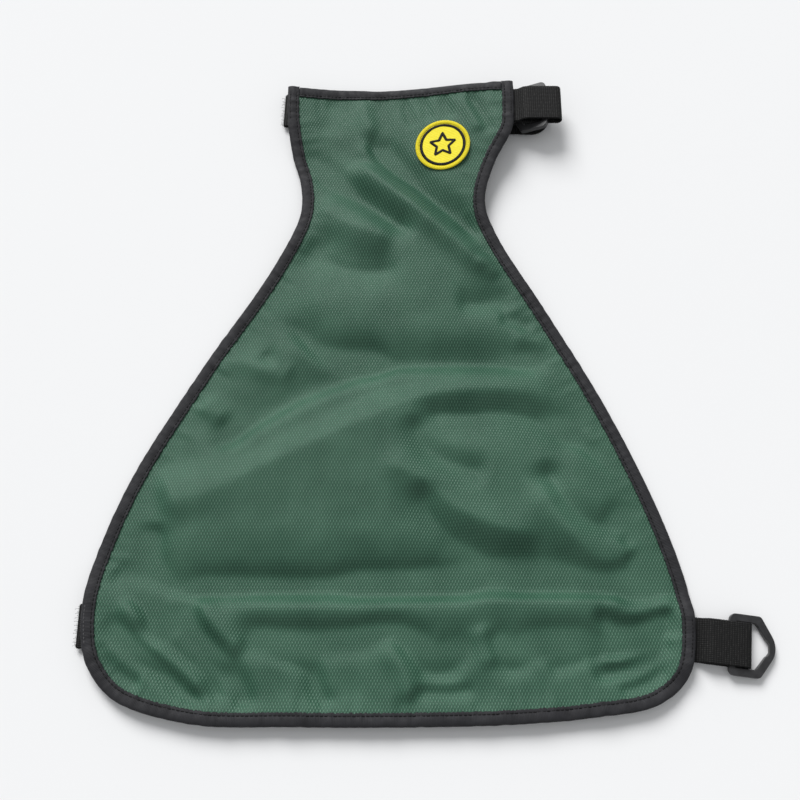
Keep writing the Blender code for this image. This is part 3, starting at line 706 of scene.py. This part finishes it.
def scatter(name, template, places, forward, up, material):
    """Copies of one small mesh at many places, each turned so that its X goes forward and its Z up."""
    points, faces, flat = template
    forward = forward / np.linalg.norm(forward, axis=1)[:, None]
    across = np.cross(up, forward)
    across /= np.linalg.norm(across, axis=1)[:, None]
    top = np.cross(forward, across)
    every, all_faces = repeated(points, faces, places, forward, across, top)
    tiled = np.tile(flat, (len(places), 1))
    tiled[:, 1] += np.repeat(np.arange(len(places)) * 1.37, len(points))
    return build(name, every, all_faces, material, tiled)


def stitches(name, path, rise, node, material=THREAD_LOOK, pitch=STITCH_PITCH):
    """A row of lockstitches along a path on the panel, with the CAD strip that it stands for."""
    line, _ = resampled(path, pitch)
    z = FIELD.at(line[:, 0], line[:, 1]) + rise
    full = np.column_stack([line, z])
    middle = (full[1:] + full[:-1]) / 2
    made = scatter(
        name, capsule(pitch * 0.84, 0.3), middle, full[1:] - full[:-1],
        np.tile([0.0, 0.0, 1.0], (len(middle), 1)), material,
    )  # fmt: skip
    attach(made, "root")
    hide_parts(node)
    return made


def build_edges():
    path, along = resampled(EDGE, EDGE_STEP)
    made = [binding("side_binding", path, along, "edge_binding")]
    inner = 7.8
    top, top_along = resampled([(74.0 - inner, TOP_Y), (-74.0 + inner, TOP_Y)], EDGE_STEP)
    made.append(binding("top_binding", top, top_along, "neck_binding"))
    seam = EDGE + inwards(EDGE) * SEAM_IN
    made.append(stitches("side_binding_stitches", seam[4:-4], 0.72, "edge_binding_seam"))
    made.append(stitches("top_binding_stitches", top + [0.0, -SEAM_IN], 0.72, "neck_binding_seam"))
    for name, (_, y, *_) in [*STRAPS.items(), *((k + "_loop", v) for k, v in LOOPS.items())]:
        side = 1 if "loop" in name else -1
        node = name + "_tack" if "loop" in name else name + "_strap_tack"
        row = (np.abs(EDGE[:, 1] - y) < 11.5) & (EDGE[:, 0] * side > 0)
        part = (EDGE + inwards(EDGE) * 2.0)[row]
        look = GREY_THREAD_LOOK if name == "waist" else THREAD_LOOK
        made.append(stitches(node + "_stitches", part, 1.0, node, look, 2.2))
    return made


# ---------------------------------------------------------------- webbing


def turned(points, x, y, turn):
    """Points from a strap's own frame, x along it, to the cutting frame."""
    a = math.radians(turn)
    p = np.asarray(points, float)
    c, s = math.cos(a), math.sin(a)
    return np.column_stack([x + p[:, 0] * c - p[:, 1] * s, y + p[:, 0] * s + p[:, 1] * c, p[:, 2]])


def band(name, line, width, thick, material, rib=0.0, pitch=1.39, tip=0.0):
    """A flat band along a line in its own XZ plane, ribbed across, with a rounded tip where wanted."""
    path, along = resampled(line, 0.35)
    direction = directions(path)
    normal = np.stack([-direction[:, 1], direction[:, 0]], 1)
    half = np.full(len(path), width / 2)
    if tip:
        left = along[-1] - along
        near = left < tip
        half[near] = np.sqrt(np.maximum(tip**2 - (tip - left[near]) ** 2, 0.04)) * (width / 2) / tip
    columns = [-1.0, -0.985, -0.94, -0.8, -0.5, -0.2, 0.2, 0.5, 0.8, 0.94, 0.985, 1.0]
    edge = [0.35, 0.75, 0.97, 1, 1, 1, 1, 1, 1, 0.97, 0.75, 0.35]
    wobble = np.array([noise.noise((s / 1.1, len(name), 0.0)) for s in along])
    top = list(zip(columns, edge))
    section = top + [(c, -e) for c, e in reversed(top)]
    rows, flats = [], []
    for c, e in section:
        bulge = 1.0 + rib * np.cos(2 * math.pi * along / pitch)
        offset = thick / 2 * e * bulge
        ragged = 0.1 * wobble * (abs(c) > 0.9) + 0.08 * np.cos(2 * math.pi * along / pitch) * (abs(c) > 0.97)
        side = c * half + np.sign(c) * ragged
        at_x, at_z = path[:, 0] + normal[:, 0] * offset, path[:, 1] + normal[:, 1] * offset
        rows.append(np.column_stack([at_x, side, at_z]))
        flats.append(np.column_stack([along, c * half]))
    faces = tube_faces(len(path), len(section))
    return np.stack(rows, 1).reshape(-1, 3), faces, np.stack(flats, 1).reshape(-1, 2), material, name


def arc(centre, radius, start, stop, steps=12):
    angles = np.radians(np.linspace(start, stop, steps + 1))
    return np.column_stack([centre[0] + radius * np.cos(angles), centre[1] + radius * np.sin(angles)])


def placed_band(parts, x, y, turn, rise=0.0):
    points, faces, flat, material, name = parts
    points = turned(points, x, y, turn)
    points[:, 2] += rise
    return outwards(build(name, points, faces, material, flat))


def hook_template():
    """One bent monofilament hook, standing along Z."""
    line = [(0.0, 0.0), (0.0, 0.55), (0.12, 0.85), (0.34, 0.95), (0.5, 0.8)]
    sides, radius = 3, 0.09
    points = []
    for k, (x, z) in enumerate(line):
        size = radius * (1.0 if k < 4 else 0.5)
        for s in range(sides):
            turn = 2 * math.pi * s / sides
            points.append((x + size * math.cos(turn), size * math.sin(turn), z))
    faces = grid_faces(len(line), sides, closed_columns=True)
    faces.append(tuple((len(line) - 1) * sides + k for k in range(sides)))
    return np.array(points), faces, np.zeros((len(points), 2))


def build_strap(name, x, y, turn, length):
    """A strap sewn under the panel's edge and folded back under it, with its hook and loop tapes."""
    body = name + "_strap"
    reach = length - 0.3
    centre_z, radius, tape_out = 2.25, 0.65, 0.66
    bend = arc((0.4, centre_z), radius, 90.0, 270.0, 10)
    line = np.concatenate([[(9.0, 2.9)], bend, [(reach, 1.6)]])
    strap = placed_band(
        band(body + "_webbing", line, STRAP_WIDTH, 0.94, WEBBING_LOOK, 0.1, tip=STRAP_WIDTH / 2), x, y, turn
    )
    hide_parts(body, body + "_root")
    wrap = arc((0.4, centre_z), radius + tape_out, 165.0, 270.0, 8)
    tape = np.concatenate([wrap, [(52.0, centre_z - radius - tape_out)]])
    hook = placed_band(band(name + "_hook_base", tape, 23.6, 0.3, HOOK_LOOK, 0.05), x, y, turn)
    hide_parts(body + "_hook_tape")
    hooks = build_hooks(name, tape, x, y, turn)
    start = 60.0
    pile_line = [(start, 0.92), (length - 0.9, 0.92)]
    flat_pile = band(name + "_pile_base", pile_line, 23.4, 0.3, PILE_LOOK, 0.1, 2.2, tip=11.7)
    pile = placed_band(flat_pile, x, y, turn)
    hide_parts(body + "_loop_tape")
    fibres = build_pile(name, start, length, x, y, turn)
    fold_at = Vector((*((np.array([x, y]) - ORIGIN) * MM), 0.0))
    for made in (strap, hook, hooks):
        high, low = fold_at.copy(), fold_at.copy()
        high.z, low.z = 0.0024, 0.0021
        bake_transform(made)
    for made in (pile, fibres):
        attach(made, body)


def build_hooks(name, tape, x, y, turn):
    """Rows of hooks on the tape's outer face, longer where they stand free at the fold."""
    path, along = resampled(tape, 1.15)
    direction = directions(path)
    outward = np.stack([direction[:, 1], -direction[:, 0]], 1)
    random = np.random.default_rng(5)
    places, forward, up = [], [], []
    for k in range(len(path)):
        for w in np.arange(-11.2, 11.3, 1.15):
            free = 1.0 if along[k] < 2.6 else 0.0
            jitter = random.uniform(-0.22, 0.22, 3)
            places.append((path[k, 0], w + 0.5 * (k % 2) + jitter[0], path[k, 1]))
            lean = 0.35 + 0.35 * free
            tilt = np.array([outward[k, 0], 0.0, outward[k, 1]]) + lean * jitter * np.array([1.0, 2.0, 1.0])
            tuft = 0.5 + 0.5 * math.cos(2 * math.pi * w / 2.3)
            up.append(tilt / np.linalg.norm(tilt) * (0.62 + 2.6 * free * tuft * random.uniform(0.6, 1.0)))
            forward.append((0.0, 1.0 if k % 2 else -1.0, 0.0))
    places, forward, up = map(np.array, (places, forward, up))
    points, faces, flat = hook_template()
    size = np.linalg.norm(up, axis=1)
    top = up / size[:, None]
    across = np.cross(top, forward)
    across /= np.linalg.norm(across, axis=1)[:, None]
    ahead = np.cross(across, top)
    every, all_faces = repeated(points, faces, places, ahead, across, up)
    every[:, 2] = np.maximum(every[:, 2], 0.02)
    tiled = np.tile(flat, (len(places), 1))
    made = build(name + "_hooks", turned(every, x, y, turn), all_faces, HOOK_LOOK, tiled)
    return made


def build_pile(name, start, length, x, y, turn):
    """The loop tape's brushed face: many small arches of fibre, pressed flat under the strap."""
    random = np.random.default_rng(11)
    places, forward = [], []
    end = length - 0.9
    for a in np.arange(start + 0.6, end - 0.6, 1.25):
        half = 11.4
        left = end - a
        if left < 11.7:
            half = math.sqrt(max(11.7**2 - (11.7 - left) ** 2, 0.0)) - 0.3
        for w in np.arange(-half, half, 1.25):
            places.append((a + random.uniform(-0.5, 0.5), w + random.uniform(-0.5, 0.5), 0.78))
            angle = random.uniform(0, 2 * math.pi)
            forward.append((math.cos(angle), math.sin(angle), 0.0))
    places, forward = np.array(places), np.array(forward)
    line = [(-0.75, 0.0), (-0.5, 0.38), (0.0, 0.6), (0.5, 0.38), (0.75, 0.0)]
    points = []
    for px, pz in line:
        for s in range(3):
            t = 2 * math.pi * s / 3
            points.append((px, 0.07 * math.cos(t), -pz + 0.07 * math.sin(t)))
    faces = grid_faces(len(line), 3, closed_columns=True)
    template = (np.array(points), faces, np.zeros((len(points), 2)))
    up = np.tile([0.0, 0.0, 1.0], (len(places), 1))
    places, forward = turned(places, x, y, turn), turned(forward, 0, 0, turn)
    made = scatter(name + "_pile", template, places, forward, up, PILE_LOOK)
    return made


def ring_outlines():
    """The ring in plan as in the CAD, with the middle of its bar at x = 0, mm."""
    back, half, corner, length = -1.6, 17.0, 16.1, 26.0
    slope = math.radians(32.0)
    nx, ny = math.cos(slope), math.sin(slope)
    slant = corner * nx + half * ny
    tip = back + length
    nose = (slant - tip * nx) / (1.0 - nx)
    lower = [
        *arc((back + 3.5, -half + 3.5), 3.5, 180.0, 270.0, 6),
        *arc((corner - 2.5 * math.tan(math.pi / 4 - slope / 2), -half + 2.5), 2.5, 270.0, 360.0 - 32.0, 5),
    ]
    upper = [(x, -y) for x, y in reversed(lower)]
    outside = [*lower, *arc((tip - nose, 0.0), nose, -32.0, 32.0, 16), *upper]
    side, bar, inner = half - 4.3, 1.6, slant - 4.3
    turn = (inner - side * ny) / nx
    step = (inner - 4.6 * ny) / nx
    top = [
        (bar, side - 0.8), (bar + 0.8, side), (turn - 0.7, side), (turn + 0.5, side - 1.4),
        (step, 4.6), (step + 0.9, 4.2), (tip - 3.4, 2.2),
    ]  # fmt: skip
    return [outside, [*top, *[(x, -y) for x, y in reversed(top)]]]


def build_ring(name, x, y, turn, bar, tilt):
    curve = bpy.data.curves.new(name, "CURVE")
    curve.dimensions = "2D"
    curve.fill_mode = "BOTH"
    curve.extrude = 1.5 * MM
    for outline in ring_outlines():
        line = curve.splines.new("POLY")
        line.points.add(len(outline) - 1)
        for point, (a, b) in zip(line.points, outline):
            point.co = (a * MM, b * MM, 0.0, 1.0)
        line.use_cyclic_u = True
    holder = bpy.data.objects.new(name + "_curve", curve)
    bpy.context.scene.collection.objects.link(holder)
    seen = holder.evaluated_get(bpy.context.evaluated_depsgraph_get())
    mesh = bpy.data.meshes.new_from_object(seen)
    bpy.data.objects.remove(holder)
    shape = bmesh.new()
    shape.from_mesh(mesh)
    bmesh.ops.remove_doubles(shape, verts=shape.verts, dist=1e-6)
    bmesh.ops.recalc_face_normals(shape, faces=shape.faces)
    bmesh.ops.dissolve_limit(shape, angle_limit=0.01, verts=shape.verts, edges=shape.edges)
    shape.to_mesh(mesh)
    shape.free()
    mesh.materials.clear()
    mesh.materials.append(PLASTIC_LOOK)
    mesh.polygons.foreach_set("use_smooth", [True] * len(mesh.polygons))
    made = bpy.data.objects.new(name + "_ring_moulding", mesh)
    bpy.context.scene.collection.objects.link(made)
    angle = math.radians(turn)
    at_x, at_y = x + bar * math.cos(angle), y + bar * math.sin(angle)
    z = LOOP_RISE + tail_lift(x, y) + BAR_UP
    place = Matrix.Translation(((at_x - ORIGIN[0]) * MM, (at_y - ORIGIN[1]) * MM, z * MM))
    made.matrix_world = place @ Matrix.Rotation(angle, 4, "Z") @ Matrix.Rotation(math.radians(tilt), 4, "Y")
    edges = made.modifiers.new("edges", "BEVEL")
    edges.width = 0.95 * MM
    edges.segments = 4
    edges.limit_method = "ANGLE"
    edges.angle_limit = math.radians(50.0)
    normals = made.modifiers.new("normals", "WEIGHTED_NORMAL")
    normals.keep_sharp = False
    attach(made, name + "_ring")
    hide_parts(name + "_ring")


def tail_lift(x, y):
    return float(LIFT * smooth(np.array(x), *LIFT_X) * smooth(np.array(y), *LIFT_Y))


def build_loop(name, x, y, turn):
    """A webbing loop sewn under the panel's edge, round its ring's bar."""
    middle, end = 2.75, 31.0 - 3.3
    line = np.concatenate([
        [(-8.0, 0.54), (1.0, 0.54), (3.0, 0.75), (6.5, 3.3), (9.5, BAR_UP + middle)],
        arc((end, BAR_UP), middle, 90.0, -90.0, 14),
        [(9.5, BAR_UP - middle), (6.5, -1.35), (3.0, -0.62), (1.0, -0.54), (-8.0, -0.54)],
    ])  # fmt: skip
    webbing = band(name + "_loop_webbing", line, STRAP_WIDTH, 1.04, WEBBING_LOOK, 0.1)
    made = placed_band(webbing, x, y, turn, LOOP_RISE + tail_lift(x, y))
    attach(made, "root")
    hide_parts(name + "_loop")


# ---------------------------------------------------------------- patch


def patch_plane():
    """A plane that the stiff patch lies on, just clear of the cloth: its height at a point, mm."""
    turns = np.linspace(0, 2 * math.pi, 48, endpoint=False)
    x0, y0 = PATCH_AT
    ring = [(x0 + r * math.cos(t), y0 + r * math.sin(t)) for r in (6.0, 12.0, 17.0) for t in turns]
    ring = np.array([PATCH_AT, *ring])
    z = FIELD.at(ring[:, 0], ring[:, 1])
    fit, *_ = np.linalg.lstsq(np.column_stack([ring, np.ones(len(ring))]), z, rcond=None)
    clear = (z - ring @ fit[:2] - fit[2]).max()
    return lambda x, y: np.asarray(x) * fit[0] + np.asarray(y) * fit[1] + fit[2] + 0.55 * clear + 0.2


def round_strip(name, path, width, height, lift, ridges, material, node, plane):
    """Satin stitch along a closed path: a raised band with a ridge for each thread."""
    line, along = resampled([*path, path[0]], 0.14)
    line, along = line[:-1], along[:-1]
    forward = np.roll(line, -1, axis=0) - np.roll(line, 1, axis=0)
    forward /= np.linalg.norm(forward, axis=1)[:, None]
    side = np.stack([-forward[:, 1], forward[:, 0]], 1)
    columns = np.linspace(-1.0, 1.0, 7)
    thread = np.cos(2 * math.pi * along / ridges)
    rows, flats = [], []
    for c in columns:
        q = line + side * (c * width / 2 * (1.0 + 0.07 * thread * abs(c)))[:, None]
        crown = math.sqrt(max(0.0, 1.0 - c * c)) * (1.0 + 0.12 * thread) - 0.12
        z = plane(q[:, 0], q[:, 1]) + lift + height * crown
        rows.append(np.column_stack([q, z]))
        flats.append(np.column_stack([along, np.full(len(along), c * width / 2)]))
    points = np.stack(rows, 1).reshape(-1, 3)
    faces = grid_faces(len(line), len(columns), closed_rows=True)
    made = build(name, points, faces, material, np.stack(flats, 1).reshape(-1, 2))
    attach(made, "root")
    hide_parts(node)
    return made


def build_patch():
    plane = patch_plane()
    x0, y0 = PATCH_AT
    rings, spokes = 22, 96
    points = [(x0, y0, plane(x0, y0) + 0.75)]
    for r in range(1, rings + 1):
        size = 15.6 * r / rings
        sunk = 0.25 * float(smooth(np.array(size), 14.0, 15.6))
        for s in range(spokes):
            t = 2 * math.pi * s / spokes
            x, y = x0 + size * math.cos(t), y0 + size * math.sin(t)
            bulge = 0.75 + 0.12 * noise.noise((x / 4.0, y / 4.0, 5.0)) - sunk
            points.append((x, y, float(plane(x, y)) + bulge))
    faces = [(0, 1 + s, 1 + (s + 1) % spokes) for s in range(spokes)]
    for r in range(rings - 1):
        for s in range(spokes):
            a, b = 1 + r * spokes + s, 1 + r * spokes + (s + 1) % spokes
            faces.append((a, a + spokes, b + spokes, b))
    points = np.array(points, float)
    base = build("patch_fill", points, faces, PATCH_LOOK, points[:, :2])
    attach(base, "root")
    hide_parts("patch_base")
    border = build_border(plane)
    turns = np.linspace(0, 2 * math.pi, 121)[:-1]
    ring = [(x0 + 13.8 * math.cos(t), y0 + 13.8 * math.sin(t)) for t in turns]
    circle = round_strip("patch_ring_satin", ring, 2.0, 0.42, 0.72, 0.42, THREAD_LOOK, "patch_circle", plane)
    middle = (1.0 + 0.72) / 2
    star = []
    for k in range(10):
        size = (9.6 if k % 2 == 0 else 4.6) * middle
        t = math.pi / 2 + math.pi * k / 5
        star.append((x0 + size * math.cos(t), y0 + size * math.sin(t)))
    shape = round_strip("patch_star_satin", star, 1.9, 0.42, 0.72, 0.42, THREAD_LOOK, "patch_star", plane)
    return [base, border, circle, shape]


def build_border(plane):
    """The patch's overlocked rim: a cord of thread with slanted wraps."""
    major, minor, wraps = 16.3, 1.25, 128
    around, across = wraps * 6, 12
    points, flat = [], []
    for a in range(around):
        t = 2 * math.pi * a / around
        for c in range(across):
            f = 2 * math.pi * c / across
            size = minor * (1.0 + 0.07 * math.cos(wraps * t + 1.2 * math.sin(f)))
            r = major + size * math.cos(f)
            x, y = PATCH_AT[0] + r * math.cos(t), PATCH_AT[1] + r * math.sin(t)
            points.append((x, y, float(plane(x, y)) + 0.5 + 0.45 * size * math.sin(f)))
            flat.append((t * major, f * minor))
    faces = grid_faces(around, across, closed_rows=True, closed_columns=True)
    made = outwards(build("patch_overlock", points, faces, BORDER_LOOK, flat))
    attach(made, "root")
    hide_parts("patch_border")
    return made


# ---------------------------------------------------------------- studio


def build_studio():
    bpy.ops.mesh.primitive_plane_add(size=40.0, location=(0.0, 0.0, -0.0003))
    floor = bpy.context.object
    floor.name = "floor"
    floor.data.materials.append(floor_look())
    world = bpy.data.worlds.new("studio")
    bpy.context.scene.world = world
    world.use_nodes = True
    background = world.node_tree.nodes["Background"]
    background.inputs["Color"].default_value = (0.97, 0.985, 1.0, 1.0)
    background.inputs["Strength"].default_value = 0.46
    key = bpy.data.lights.new("key", "SUN")
    key.energy = 3.15
    key.angle = math.radians(32.0)
    lamp = bpy.data.objects.new("key", key)
    lamp.rotation_euler = Vector((-0.33, 0.86, 0.70)).to_track_quat("Z", "Y").to_euler()
    bpy.context.scene.collection.objects.link(lamp)
    camera = bpy.data.objects.new("camera", bpy.data.cameras.new("camera"))
    camera.data.lens = 50.0
    camera.data.sensor_width = 36.0
    camera.location = (-0.01456, -0.24547, 0.6264)
    camera.rotation_euler = (math.radians(20.3), 0.0, 0.0)
    bpy.context.scene.collection.objects.link(camera)
    bpy.context.scene.camera = camera
    bpy.context.scene.view_settings.view_transform = "Standard"


shell, lining = build_cloth()
edges = build_edges()
for name, facts in STRAPS.items():
    build_strap(name, *facts)
for name, facts in LOOPS.items():
    build_loop(name, *facts[:3])
for name, facts in LOOPS.items():
    build_ring(name, *facts)
patch = build_patch()
build_studio()
